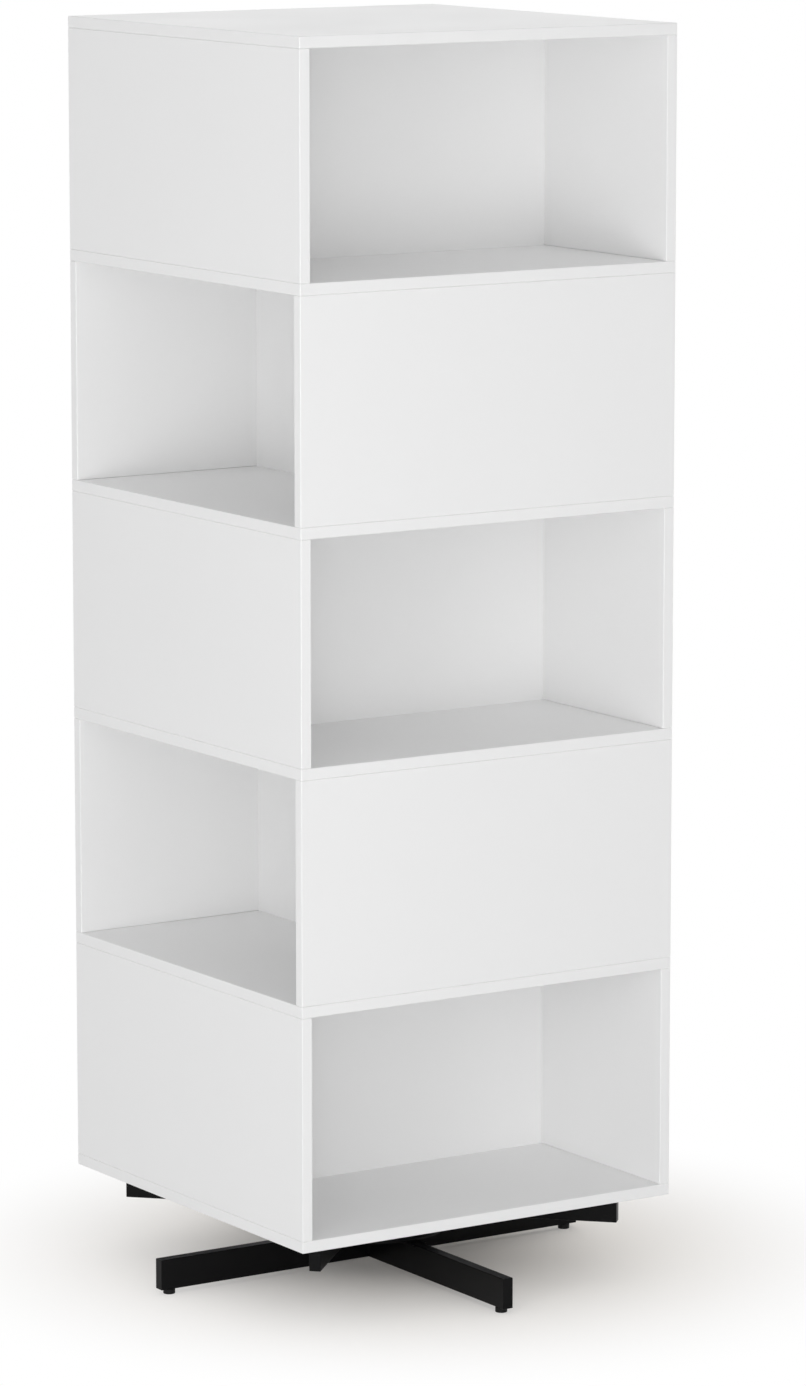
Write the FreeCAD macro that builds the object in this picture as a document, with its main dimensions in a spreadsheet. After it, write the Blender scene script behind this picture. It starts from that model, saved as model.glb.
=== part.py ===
import FreeCAD, Part
import os

import Sketcher

# Rotating media tower: five tiers of white boards on a swivel, carried by two crosses of flat bar.
# Frame: millimetres, +Z up, the floor at z = 0 and the swivel's axis on Z.  -Y is the front.
# The lower cross stands still with its arms along X and Y.  The upper cross turns with the
# tower, and its arms run to the tower's four corners.

DRIVING_DIMENSIONS = (
    # The cabinet's boards, and the dowels that join them.
    ("tower_width", 450),
    ("board_thickness", 12),
    ("tier_clear_height", 228.5),
    ("board_edge_round", 1),
    ("dowel_diameter", 6),
    ("dowel_length", 30),
    ("dowel_in_board", 8),
    ("dowel_inset", 40),
    ("dowel_clearance", 0.1),
    ("dowel_end_gap", 0.3),
    # The two crosses.
    ("bar_width", 12),
    ("bar_height", 32),
    ("bar_edge_round", 0.8),
    ("lower_arm_length", 259.5),
    ("upper_arm_length", 264),
    ("lap_clearance", 0.1),
    # The swivel: two plates, two grooved rings, and balls in a cage between them.
    ("plate_overhang", 8),
    ("plate_thickness", 3),
    ("plate_edge_round", 0.5),
    ("bearing_height", 12),
    ("ring_width", 14.4),
    ("ring_standoff", 1),
    ("ring_gap", 3.2),
    ("ball_diameter", 6),
    ("ball_circle_diameter", 112),
    ("ball_clearance", 0.3),
    ("ball_count", 24),
    ("cage_thickness", 1.4),
    ("cage_height", 8),
    ("cage_pocket_clearance", 0.2),
    # Countersunk screws that hold the rings to the plates.
    ("ring_screw_diameter", 4),
    ("ring_screw_length", 10),
    ("ring_screw_head_diameter", 8),
    ("ring_screw_head_clearance", 0.2),
    ("ring_screw_socket", 2.5),
    ("ring_screw_socket_depth", 1.4),
    # Socket screws that hold the upper cross to the inserts in the bottom panel.
    ("cross_screw_diameter", 5),
    ("cross_screw_length", 35),
    ("cross_screw_head_diameter", 8.5),
    ("cross_screw_head_height", 5),
    ("cross_screw_head_clearance", 0.2),
    ("cross_screw_socket", 4),
    ("cross_screw_socket_depth", 2.5),
    ("cross_screw_inner_radius", 110),
    ("cross_screw_outer_radius", 230),
    ("insert_diameter", 7.5),
    ("insert_length", 9),
    ("insert_clearance", 0.05),
    # Clearances, measured on the radius, of every screw and stud.
    ("screw_hole_clearance", 0.25),
    ("thread_clearance", 0.05),
    ("screw_end_gap", 0.5),
    # Levelling feet under the ends of the lower cross.
    ("foot_inset", 12.5),
    ("foot_pad_diameter", 12.4),
    ("foot_pad_height", 5.2),
    ("foot_pad_round", 0.6),
    ("foot_seat_gap", 0.3),
    ("stud_diameter", 6),
    ("stud_in_bar", 20),
    ("stud_in_pad", 3.5),
)

TIERS = 5
DOWELS_PER_EDGE = 4
ARMS = 4
QUARTER_TURN_DEGREES = 90
DIAGONAL_DEGREES = 45
COUNTERSINK_DEGREES = 90
BOX_EDGES = 12
HEXAGON_SIDES = 6
UPSIDE_DOWN = FreeCAD.Rotation(FreeCAD.Vector(1, 0, 0), 180)

doc = FreeCAD.newDocument("media_tower")
sheet = doc.addObject("Spreadsheet::Sheet", "dims")
for row, (alias, value) in enumerate(DRIVING_DIMENSIONS, start=1):
    sheet.set(f"A{row}", alias)
    sheet.set(f"B{row}", str(value))
    sheet.setAlias(f"B{row}", alias)
doc.recompute()

# Heights of the stack, from the floor up, each worked out from the piece under it.
LOWER_BAR_Z = "(dims.foot_pad_height + dims.foot_seat_gap)"
LOWER_PLATE_Z = f"({LOWER_BAR_Z} + dims.bar_height)"
BEARING_Z = f"({LOWER_PLATE_Z} + dims.plate_thickness)"
UPPER_PLATE_Z = f"({BEARING_Z} + dims.bearing_height)"
UPPER_BAR_Z = f"({UPPER_PLATE_Z} + dims.plate_thickness)"
TOWER_Z = f"({UPPER_BAR_Z} + dims.bar_height)"
TIER_PITCH = "(dims.tier_clear_height + dims.board_thickness)"

# Places that several pieces share.
SIDE_OFFSET = "(dims.tower_width - dims.board_thickness) / 2"
SIDE_DOWEL_REACH = "(dims.tower_width / 2 - dims.dowel_inset)"
DIVIDER_LENGTH = "(dims.tower_width - 2 * dims.board_thickness)"
DIVIDER_DOWEL_REACH = f"({DIVIDER_LENGTH} / 2 - dims.dowel_inset)"
DOWEL_IN_PANEL = "(dims.dowel_length - dims.dowel_in_board)"
DOWEL_HOLE_RADIUS = "(dims.dowel_diameter / 2 + dims.dowel_clearance)"
RING_HEIGHT = "(dims.bearing_height - dims.ring_standoff)"
RING_INNER_EDGE = "(dims.ball_circle_diameter - dims.ring_gap) / 2"
RING_OUTER_EDGE = "(dims.ball_circle_diameter + dims.ring_gap) / 2"
RING_BORE_RADIUS = f"({RING_INNER_EDGE} - dims.ring_width)"
RING_RIM_RADIUS = f"({RING_OUTER_EDGE} + dims.ring_width)"
INNER_SCREW_RADIUS = f"({RING_INNER_EDGE} - dims.ring_width / 2)"
OUTER_SCREW_RADIUS = f"({RING_OUTER_EDGE} + dims.ring_width / 2)"
PLATE_RADIUS = f"({RING_RIM_RADIUS} + dims.plate_overhang)"
RING_SCREW_IN_RING = "(dims.ring_screw_length - dims.plate_thickness)"
CROSS_SCREW_SEAT = "(dims.cross_screw_head_height + dims.cross_screw_head_clearance)"
FOOT_RADIUS = "(dims.lower_arm_length - dims.foot_inset)"
CROSS_SCREW_RADII = ("dims.cross_screw_inner_radius", "dims.cross_screw_outer_radius")

parts = []


# Helpers: each makes one sketch element or one feature, bound to the sheet.


def measure(expression):
    return float(sheet.evalExpression(expression))


def new_part(label, x="0", y="0", z="0", turn=0):
    """A body for one sub-part, placed from the sheet and turned about Z by whole degrees."""
    body = doc.addObject("PartDesign::Body", label)
    body.Label = label
    body.Placement.Rotation = FreeCAD.Rotation(FreeCAD.Vector(0, 0, 1), turn)
    body.setExpression(".Placement.Base.x", x)
    body.setExpression(".Placement.Base.y", y)
    body.setExpression(".Placement.Base.z", z)
    parts.append(body)
    return body


def origin_feature(body, role):
    return [item for item in body.Origin.OriginFeatures if item.Role == role][0]


def new_sketch(body, role="XY_Plane", offset="0"):
    """A sketch on one of the body's own origin planes, shifted along that plane's normal."""
    sketch = body.newObject("Sketcher::SketchObject", "sketch")
    sketch.AttachmentSupport = [(origin_feature(body, role), "")]
    sketch.MapMode = "FlatFace"
    sketch.setExpression(".AttachmentOffset.Base.z", offset)
    return sketch


def bind(sketch, kind, *arguments, expression):
    """Adds a dimension to a sketch and ties it to an expression."""
    value = measure(expression)
    index = sketch.addConstraint(Sketcher.Constraint(kind, *arguments, value))
    sketch.setExpression(f"Constraints[{index}]", expression)


def rectangle(sketch, left, right, bottom, top):
    """A rectangle with each side at its own distance from the sketch's origin."""
    low = FreeCAD.Vector(measure(left), measure(bottom))
    high = FreeCAD.Vector(measure(right), measure(top))
    corners = (low, FreeCAD.Vector(high.x, low.y), high, FreeCAD.Vector(low.x, high.y))
    sides = []
    for start, end in zip(corners, corners[1:] + corners[:1]):
        sides.append(sketch.addGeometry(Part.LineSegment(start, end)))
    for side, following in zip(sides, sides[1:] + sides[:1]):
        sketch.addConstraint(Sketcher.Constraint("Coincident", side, 2, following, 1))
    for side in sides[0::2]:
        sketch.addConstraint(Sketcher.Constraint("Horizontal", side))
    for side in sides[1::2]:
        sketch.addConstraint(Sketcher.Constraint("Vertical", side))
    bind(sketch, "DistanceX", -1, 1, sides[0], 1, expression=left)
    bind(sketch, "DistanceX", -1, 1, sides[2], 1, expression=right)
    bind(sketch, "DistanceY", -1, 1, sides[0], 1, expression=bottom)
    bind(sketch, "DistanceY", -1, 1, sides[2], 1, expression=top)


def circle(sketch, x, y, radius):
    centre = FreeCAD.Vector(measure(x), measure(y))
    index = sketch.addGeometry(Part.Circle(centre, FreeCAD.Vector(0, 0, 1), measure(radius)))
    bind(sketch, "Radius", index, expression=radius)
    bind(sketch, "DistanceX", -1, 1, index, 3, expression=x)
    bind(sketch, "DistanceY", -1, 1, index, 3, expression=y)


def hexagon(sketch, x, y, across_flats):
    """A hexagon for a socket key, drawn round a construction circle that touches its flats."""
    centre = FreeCAD.Vector(measure(x), measure(y))
    reach = FreeCAD.Vector(measure(f"{across_flats} / sqrt(3)"), 0)
    corners = []
    for side in range(HEXAGON_SIDES):
        turn = FreeCAD.Rotation(FreeCAD.Vector(0, 0, 1), 360 / HEXAGON_SIDES * side)
        corners.append(centre + turn.multVec(reach))
    flats = []
    for start, end in zip(corners, corners[1:] + corners[:1]):
        flats.append(sketch.addGeometry(Part.LineSegment(start, end)))
    radius = measure(f"{across_flats} / 2")
    ring = sketch.addGeometry(Part.Circle(centre, FreeCAD.Vector(0, 0, 1), radius), True)
    for flat, following in zip(flats, flats[1:] + flats[:1]):
        sketch.addConstraint(Sketcher.Constraint("Coincident", flat, 2, following, 1))
        sketch.addConstraint(Sketcher.Constraint("Tangent", flat, ring))
    for flat in flats[1:-1]:
        sketch.addConstraint(Sketcher.Constraint("Equal", flats[0], flat))
    sketch.addConstraint(Sketcher.Constraint("Horizontal", flats[1]))
    bind(sketch, "Radius", ring, expression=f"{across_flats} / 2")
    bind(sketch, "DistanceX", -1, 1, ring, 3, expression=x)
    bind(sketch, "DistanceY", -1, 1, ring, 3, expression=y)


def pad(body, sketch, length, downwards=False):
    feature = body.newObject("PartDesign::Pad", "pad")
    feature.Profile = sketch
    feature.Reversed = downwards
    feature.setExpression("Length", length)
    doc.recompute()
    return feature


def pocket(body, sketch, depth, upwards=False):
    """A pocket down from its sketch, or up from it, which has to take material away."""
    before = body.Shape.Volume
    feature = body.newObject("PartDesign::Pocket", "pocket")
    feature.Profile = sketch
    feature.Reversed = upwards
    feature.setExpression("Length", depth)
    doc.recompute()
    if feature.Shape.Volume >= before:
        raise RuntimeError(f"{body.Label}: a pocket cuts nothing")
    return feature


def turned(body, kind, sketch):
    """A revolution or a groove about the body's own Z axis."""
    feature = body.newObject(kind, "turned")
    feature.Profile = sketch
    feature.ReferenceAxis = (origin_feature(body, "Z_Axis"), [""])
    doc.recompute()
    return feature


def rounded(body, base, edges, radius):
    feature = body.newObject("PartDesign::Fillet", "rounded_edges")
    feature.Base = (base, edges)
    feature.setExpression("Radius", radius)
    doc.recompute()
    return feature


def repeated(body, originals, count):
    """Copies of some features, evenly spaced round the body's own Z axis."""
    pattern = body.newObject("PartDesign::PolarPattern", "repeated")
    pattern.Originals = originals
    pattern.Axis = (origin_feature(body, "Z_Axis"), [""])
    pattern.setExpression("Occurrences", count)
    body.Tip = pattern
    doc.recompute()
    return pattern


def block(body, length, width, height, edge_round=None):
    """A box centred on Z with its foot at z = 0, with or without eased edges."""
    sketch = new_sketch(body)
    rectangle(sketch, f"-{length} / 2", f"{length} / 2", f"-{width} / 2", f"{width} / 2")
    base = pad(body, sketch, height)
    if edge_round:
        rounded(body, base, [f"Edge{number + 1}" for number in range(BOX_EDGES)], edge_round)


# The cabinet.  A tier's two side panels stand on opposite faces, with a divider between them.
# The next tier is turned by a quarter turn, so each face of the tower shows side panels and
# open compartments by turns.


def tier_turned(tier):
    """Tiers 1, 3 and 5 have their side panels along Y, tiers 2 and 4 along X."""
    return tier % 2 == 1


def dowel_steps(reach):
    """Evenly spaced places along a panel, from one end dowel to the other."""
    last = DOWELS_PER_EDGE - 1
    return [f"{reach} * {2 * step - last} / {last}" for step in range(DOWELS_PER_EDGE)]


def tier_dowel_places(turned_tier):
    places = []
    for side in ("-", ""):
        for step in dowel_steps(SIDE_DOWEL_REACH):
            places.append((step, f"{side}{SIDE_OFFSET}"))
    for step in dowel_steps(DIVIDER_DOWEL_REACH):
        places.append(("0", step))
    return [(y, x) if turned_tier else (x, y) for x, y in places]


def board_dowel_holes(body, tier, from_below):
    """Holes in a board's face for the dowels of the tier that meets that face."""
    sketch = new_sketch(body, offset="0" if from_below else "dims.board_thickness")
    for x, y in tier_dowel_places(tier_turned(tier)):
        circle(sketch, x, y, DOWEL_HOLE_RADIUS)
    pocket(body, sketch, "dims.dowel_in_board + dims.dowel_end_gap", upwards=from_below)


def make_board(label, level):
    """A full-width board: level 0 is the bottom panel and the last level is the top panel."""
    body = new_part(label, z=f"{TOWER_Z} + {level} * {TIER_PITCH}")
    block(body, "dims.tower_width", "dims.tower_width", "dims.board_thickness", "dims.board_edge_round")
    if level > 0:
        board_dowel_holes(body, level, from_below=True)
    if level < TIERS:
        board_dowel_holes(body, level + 1, from_below=False)
    return body


def make_bottom_panel():
    """The lowest board, which also holds the threaded inserts for the upper cross."""
    body = make_board("bottom_panel", 0)
    sketch = new_sketch(body)
    for radius in CROSS_SCREW_RADII:
        circle(sketch, f"{radius} * cos({DIAGONAL_DEGREES})", f"{radius} * sin({DIAGONAL_DEGREES})",
               "dims.insert_diameter / 2 + dims.insert_clearance")
    holes = pocket(body, sketch, "dims.insert_length", upwards=True)
    repeated(body, [holes], str(ARMS))


def panel_dowel_holes(body, reach):
    depth = f"{DOWEL_IN_PANEL} + dims.dowel_end_gap"
    for offset, upwards in (("0", True), ("dims.tier_clear_height", False)):
        sketch = new_sketch(body, offset=offset)
        for step in dowel_steps(reach):
            circle(sketch, step, "0", DOWEL_HOLE_RADIUS)
        pocket(body, sketch, depth, upwards)


def make_side_panel(tier, name, side):
    along_y = tier_turned(tier)
    offset = f"{side}{SIDE_OFFSET}"
    z = f"{TOWER_Z} + dims.board_thickness + {tier - 1} * {TIER_PITCH}"
    if along_y:
        body = new_part(f"tier_{tier}_side_{name}", x=offset, z=z, turn=QUARTER_TURN_DEGREES)
    else:
        body = new_part(f"tier_{tier}_side_{name}", y=offset, z=z)
    block(body, "dims.tower_width", "dims.board_thickness", "dims.tier_clear_height",
          "dims.board_edge_round")
    panel_dowel_holes(body, SIDE_DOWEL_REACH)


def make_divider(tier):
    turn = 0 if tier_turned(tier) else QUARTER_TURN_DEGREES
    z = f"{TOWER_Z} + dims.board_thickness + {tier - 1} * {TIER_PITCH}"
    body = new_part(f"tier_{tier}_divider", z=z, turn=turn)
    block(body, DIVIDER_LENGTH, "dims.board_thickness", "dims.tier_clear_height")
    panel_dowel_holes(body, DIVIDER_DOWEL_REACH)


def make_tier_dowels(tier):
    """Beech dowels, half in a panel's edge and half in the board that it meets."""
    z = f"{TOWER_Z} + dims.board_thickness + {tier - 1} * {TIER_PITCH}"
    body = new_part(f"tier_{tier}_dowels", z=z)
    for offset in ("-dims.dowel_in_board", f"dims.tier_clear_height - {DOWEL_IN_PANEL}"):
        sketch = new_sketch(body, offset=offset)
        for x, y in tier_dowel_places(tier_turned(tier)):
            circle(sketch, x, y, "dims.dowel_diameter / 2")
        pad(body, sketch, "dims.dowel_length")


# The crosses.  Two bars of each are halved into each other at the middle and welded.


def make_bar(label, z, arm_length, turn, notch_on_top):
    body = new_part(label, z=z, turn=turn)
    block(body, f"(2 * {arm_length})", "dims.bar_width", "dims.bar_height", "dims.bar_edge_round")
    sketch = new_sketch(body, offset="dims.bar_height" if notch_on_top else "0")
    half_notch = "(dims.bar_width / 2 + dims.lap_clearance)"
    rectangle(sketch, f"-{half_notch}", half_notch, "-dims.bar_width", "dims.bar_width")
    pocket(body, sketch, "dims.bar_height / 2", upwards=not notch_on_top)
    return body


def make_lower_bar(label, turn, notch_on_top):
    """A bar of the standing cross, tapped from below near both ends for the feet."""
    body = make_bar(label, LOWER_BAR_Z, "dims.lower_arm_length", turn, notch_on_top)
    sketch = new_sketch(body)
    for side in ("-", ""):
        circle(sketch, f"{side}{FOOT_RADIUS}", "0", "dims.stud_diameter / 2 + dims.thread_clearance")
    pocket(body, sketch, "dims.stud_in_bar + dims.screw_end_gap", upwards=True)


def make_upper_bar(label, turn, notch_on_top):
    """A bar of the turning cross, bored and counterbored from below for its screws."""
    body = make_bar(label, UPPER_BAR_Z, "dims.upper_arm_length", turn, notch_on_top)
    bores = (
        ("dims.cross_screw_diameter / 2 + dims.screw_hole_clearance", "dims.bar_height"),
        ("dims.cross_screw_head_diameter / 2 + dims.cross_screw_head_clearance", CROSS_SCREW_SEAT),
    )
    for bore_radius, depth in bores:
        sketch = new_sketch(body)
        for side in ("-", ""):
            for place in CROSS_SCREW_RADII:
                circle(sketch, f"{side}{place}", "0", bore_radius)
        pocket(body, sketch, depth, upwards=True)


def make_cross_screws():
    """Socket screws with their heads up in the counterbores of the upper bars."""
    body = new_part("cross_screws", z=UPPER_BAR_Z, turn=DIAGONAL_DEGREES)
    head_sketch = new_sketch(body, offset="dims.cross_screw_head_clearance")
    shank_sketch = new_sketch(body, offset=CROSS_SCREW_SEAT)
    socket_sketch = new_sketch(body, offset="dims.cross_screw_head_clearance")
    for place in CROSS_SCREW_RADII:
        circle(head_sketch, place, "0", "dims.cross_screw_head_diameter / 2")
        circle(shank_sketch, place, "0", "dims.cross_screw_diameter / 2")
        hexagon(socket_sketch, place, "0", "dims.cross_screw_socket")
    heads = pad(body, head_sketch, "dims.cross_screw_head_height")
    shanks = pad(body, shank_sketch, "dims.cross_screw_length")
    sockets = pocket(body, socket_sketch, "dims.cross_screw_socket_depth", upwards=True)
    repeated(body, [heads, shanks, sockets], str(ARMS))


def make_inserts():
    """Brass inserts in the bottom panel, threaded for the cross screws."""
    body = new_part("threaded_inserts", z=TOWER_Z, turn=DIAGONAL_DEGREES)
    sketch = new_sketch(body)
    for place in CROSS_SCREW_RADII:
        circle(sketch, place, "0", "dims.insert_diameter / 2")
        circle(sketch, place, "0", "dims.cross_screw_diameter / 2 + dims.thread_clearance")
    sleeves = pad(body, sketch, "dims.insert_length")
    repeated(body, [sleeves], str(ARMS))


# The swivel.  Each plate is welded to its cross, and its ring is screwed on from the far side.


def countersunk_hole(body, radius, angle, face_up):
    """A clearance hole in a plate, countersunk from the side that the screws go in at."""
    sketch = new_sketch(body, offset="dims.plate_thickness" if face_up else "0")
    circle(sketch, f"{radius} * cos({angle})", f"{radius} * sin({angle})",
           "dims.ring_screw_diameter / 2 + dims.screw_hole_clearance")
    doc.recompute()
    before = body.Shape.Volume
    hole = body.newObject("PartDesign::Hole", "countersunk_hole")
    hole.Profile = sketch
    hole.Reversed = not face_up
    hole.ThreadType = "None"
    hole.DepthType = "ThroughAll"
    hole.setExpression("Diameter", "dims.ring_screw_diameter + 2 * dims.screw_hole_clearance")
    hole.HoleCutType = "Countersink"
    hole.setExpression("HoleCutDiameter",
                       "dims.ring_screw_head_diameter + 2 * dims.ring_screw_head_clearance")
    hole.HoleCutCountersinkAngle = COUNTERSINK_DEGREES
    doc.recompute()
    if hole.Shape.Volume >= before:
        raise RuntimeError(f"{body.Label}: a hole cuts nothing")
    repeated(body, [hole], str(ARMS))


def make_plate(label, z, screw_radius, screw_angle, face_up):
    body = new_part(label, z=z)
    sketch = new_sketch(body)
    circle(sketch, "0", "0", PLATE_RADIUS)
    disc = pad(body, sketch, "dims.plate_thickness")
    rims = [f"Edge{i + 1}" for i, edge in enumerate(disc.Shape.Edges) if edge.isClosed()]
    rounded(body, disc, rims, "dims.plate_edge_round")
    countersunk_hole(body, screw_radius, screw_angle, face_up)


def make_ring(label, z, inner, outer, screw_radius, screw_angle, screwed_on_top):
    """A ring with half of the ball groove, tapped for its screws from its plate's side."""
    body = new_part(label, z=z)
    profile = new_sketch(body, "XZ_Plane")
    rectangle(profile, inner, outer, "0", RING_HEIGHT)
    turned(body, "PartDesign::Revolution", profile)
    groove = new_sketch(body, "XZ_Plane")
    middle = "dims.bearing_height / 2" if not screwed_on_top else f"{RING_HEIGHT} - dims.bearing_height / 2"
    circle(groove, "dims.ball_circle_diameter / 2", middle, "dims.ball_diameter / 2 + dims.ball_clearance")
    turned(body, "PartDesign::Groove", groove)
    holes = new_sketch(body, offset=RING_HEIGHT if screwed_on_top else "0")
    circle(holes, f"{screw_radius} * cos({screw_angle})", f"{screw_radius} * sin({screw_angle})",
           "dims.ring_screw_diameter / 2 + dims.thread_clearance")
    hole = pocket(body, holes, f"{RING_SCREW_IN_RING} + dims.screw_end_gap", upwards=not screwed_on_top)
    repeated(body, [hole], str(ARMS))


def make_ring_screws(label, z, screw_radius, screw_angle, heads_up):
    """Countersunk screws, flush in a plate: a coned head, a shank and a hexagonal socket."""
    body = new_part(label, z=z, turn=screw_angle)
    head_z = "dims.plate_thickness" if heads_up else "0"
    shank_sketch = new_sketch(body, offset=head_z)
    circle(shank_sketch, screw_radius, "0", "dims.ring_screw_diameter / 2")
    shank = pad(body, shank_sketch, "dims.ring_screw_length", downwards=heads_up)
    cone = body.newObject("PartDesign::AdditiveCone", "coned_head")
    cone.setExpression("Radius1", "dims.ring_screw_head_diameter / 2")
    cone.setExpression("Radius2", "dims.ring_screw_diameter / 2")
    cone.setExpression("Height", "(dims.ring_screw_head_diameter - dims.ring_screw_diameter) / 2")
    cone.AttachmentSupport = [(origin_feature(body, "XY_Plane"), "")]
    cone.MapMode = "FlatFace"
    if heads_up:
        cone.AttachmentOffset = FreeCAD.Placement(FreeCAD.Vector(), UPSIDE_DOWN)
    cone.setExpression(".AttachmentOffset.Base.x", screw_radius)
    cone.setExpression(".AttachmentOffset.Base.z", head_z)
    doc.recompute()
    socket_sketch = new_sketch(body, offset=head_z)
    hexagon(socket_sketch, screw_radius, "0", "dims.ring_screw_socket")
    socket = pocket(body, socket_sketch, "dims.ring_screw_socket_depth", upwards=not heads_up)
    repeated(body, [shank, cone, socket], str(ARMS))


def make_balls():
    body = new_part("bearing_balls", z=f"{BEARING_Z} + dims.bearing_height / 2")
    ball = body.newObject("PartDesign::AdditiveSphere", "ball")
    ball.AttachmentSupport = [(origin_feature(body, "XY_Plane"), "")]
    ball.MapMode = "FlatFace"
    ball.setExpression("Radius", "dims.ball_diameter / 2")
    ball.setExpression(".AttachmentOffset.Base.x", "dims.ball_circle_diameter / 2")
    doc.recompute()
    repeated(body, [ball], "dims.ball_count")


def make_ball_cage():
    """A thin ring with one round pocket for each ball, drilled from the axis outwards."""
    body = new_part("ball_cage", z=f"{BEARING_Z} + dims.bearing_height / 2")
    profile = new_sketch(body, "XZ_Plane")
    rectangle(profile,
              "(dims.ball_circle_diameter - dims.cage_thickness) / 2",
              "(dims.ball_circle_diameter + dims.cage_thickness) / 2",
              "-dims.cage_height / 2", "dims.cage_height / 2")
    turned(body, "PartDesign::Revolution", profile)
    opening = new_sketch(body, "YZ_Plane")
    circle(opening, "0", "0", "dims.ball_diameter / 2 + dims.cage_pocket_clearance")
    hole = pocket(body, opening, "dims.ball_circle_diameter", upwards=True)
    repeated(body, [hole], "dims.ball_count")


# The feet.  Each is a pad moulded on a stud that screws up into the end of an arm.


def make_foot(name, x, y):
    foot_pad = new_part(f"foot_pad_{name}", x=x, y=y)
    sketch = new_sketch(foot_pad)
    circle(sketch, "0", "0", "dims.foot_pad_diameter / 2")
    disc = pad(foot_pad, sketch, "dims.foot_pad_height")
    rims = [f"Edge{i + 1}" for i, edge in enumerate(disc.Shape.Edges) if edge.isClosed()]
    rounded(foot_pad, disc, rims, "dims.foot_pad_round")
    socket = new_sketch(foot_pad, offset="dims.foot_pad_height")
    circle(socket, "0", "0", "dims.stud_diameter / 2 + dims.thread_clearance")
    pocket(foot_pad, socket, "dims.stud_in_pad")
    stud = new_part(f"foot_stud_{name}", x=x, y=y, z="dims.foot_pad_height - dims.stud_in_pad")
    shank = new_sketch(stud)
    circle(shank, "0", "0", "dims.stud_diameter / 2")
    pad(stud, shank, "dims.stud_in_pad + dims.foot_seat_gap + dims.stud_in_bar")


make_bottom_panel()
for level in range(1, TIERS):
    make_board(f"shelf_{level}", level)
make_board("top_panel", TIERS)

for tier in range(1, TIERS + 1):
    names = ("left", "right") if tier_turned(tier) else ("front", "back")
    for name, side in zip(names, ("-", "")):
        make_side_panel(tier, name, side)
    make_divider(tier)
    make_tier_dowels(tier)

make_upper_bar("upper_bar_a", DIAGONAL_DEGREES, notch_on_top=True)
make_upper_bar("upper_bar_b", DIAGONAL_DEGREES + QUARTER_TURN_DEGREES, notch_on_top=False)
make_cross_screws()
make_inserts()

make_plate("swivel_plate_upper", UPPER_PLATE_Z, OUTER_SCREW_RADIUS, 0, face_up=True)
make_ring("bearing_ring_outer", f"{BEARING_Z} + dims.ring_standoff", RING_OUTER_EDGE, RING_RIM_RADIUS,
          OUTER_SCREW_RADIUS, 0, screwed_on_top=True)
make_ring_screws("ring_screws_upper", UPPER_PLATE_Z, OUTER_SCREW_RADIUS, 0, heads_up=True)
make_balls()
make_ball_cage()
make_ring("bearing_ring_inner", BEARING_Z, RING_BORE_RADIUS, RING_INNER_EDGE,
          INNER_SCREW_RADIUS, DIAGONAL_DEGREES, screwed_on_top=False)
make_ring_screws("ring_screws_lower", LOWER_PLATE_Z, INNER_SCREW_RADIUS, DIAGONAL_DEGREES,
                 heads_up=False)
make_plate("swivel_plate_lower", LOWER_PLATE_Z, INNER_SCREW_RADIUS, DIAGONAL_DEGREES, face_up=False)

make_lower_bar("lower_bar_a", 0, notch_on_top=True)
make_lower_bar("lower_bar_b", QUARTER_TURN_DEGREES, notch_on_top=False)

make_foot("left", f"-{FOOT_RADIUS}", "0")
make_foot("right", FOOT_RADIUS, "0")
make_foot("front", "0", f"-{FOOT_RADIUS}")
make_foot("back", "0", FOOT_RADIUS)

doc.recompute()
for item in doc.Objects:
    if "Invalid" in item.State or "Error" in item.State:
        raise RuntimeError(f"{item.Label} did not recompute: {item.State}")
for body in parts:
    if body.Shape.isNull() or not body.Shape.isValid():
        raise RuntimeError(f"{body.Label} has no valid shape")

os.makedirs("parts", exist_ok=True)
for body in parts:
    body.Shape.exportStep(f"parts/{body.Label}.step")
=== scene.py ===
import math

import bmesh
import bpy
from mathutils import Matrix, Vector


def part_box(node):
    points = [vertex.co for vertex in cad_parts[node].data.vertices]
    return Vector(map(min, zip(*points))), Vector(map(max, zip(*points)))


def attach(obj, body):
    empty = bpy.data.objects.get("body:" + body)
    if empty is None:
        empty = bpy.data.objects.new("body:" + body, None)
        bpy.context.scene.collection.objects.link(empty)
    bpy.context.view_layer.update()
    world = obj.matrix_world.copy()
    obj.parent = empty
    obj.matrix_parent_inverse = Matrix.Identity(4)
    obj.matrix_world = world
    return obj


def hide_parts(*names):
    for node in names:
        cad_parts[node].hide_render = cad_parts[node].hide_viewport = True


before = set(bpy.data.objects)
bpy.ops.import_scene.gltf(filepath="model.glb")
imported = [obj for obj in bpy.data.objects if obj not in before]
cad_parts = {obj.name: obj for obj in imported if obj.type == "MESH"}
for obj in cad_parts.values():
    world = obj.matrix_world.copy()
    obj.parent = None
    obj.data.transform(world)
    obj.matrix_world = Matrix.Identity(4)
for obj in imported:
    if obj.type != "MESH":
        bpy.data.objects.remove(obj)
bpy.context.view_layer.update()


# ---------------------------------------------------------------------------------------------
# Lower cross and its plate.  Two lengths of 12 x 32 mm flat steel bar stand on their long edges,
# halved into each other at the middle, and carry the swivel's 3 mm plate.  They are powder coated
# in black after they have been welded together.

# Lengths are in metres, or in millimetres where the name ends in MM.
POWDER_BLACK = "#060607"
POWDER_BLACK_DUSTY = "#0B0B0C"
POWDER_ROUGHNESS = (0.30, 0.38)
POWDER_SPECULAR = 0.10
POWDER_IOR = 1.5
# The pebbles of a fine powder coat are about 0.3 mm wide: drawn at 0.9 mm, so that they show.
POWDER_PEBBLE_MM = 0.9
POWDER_PEBBLE_HEIGHT_MM = 0.035
POWDER_PEBBLE_CRISPNESS = 0.6
POWDER_CLOUD_MM = 35
MM_PER_METRE = 1000
# Most of what a noise texture gives lies between these two values.
NOISE_SPREAD = (0.3, 0.7)
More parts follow.
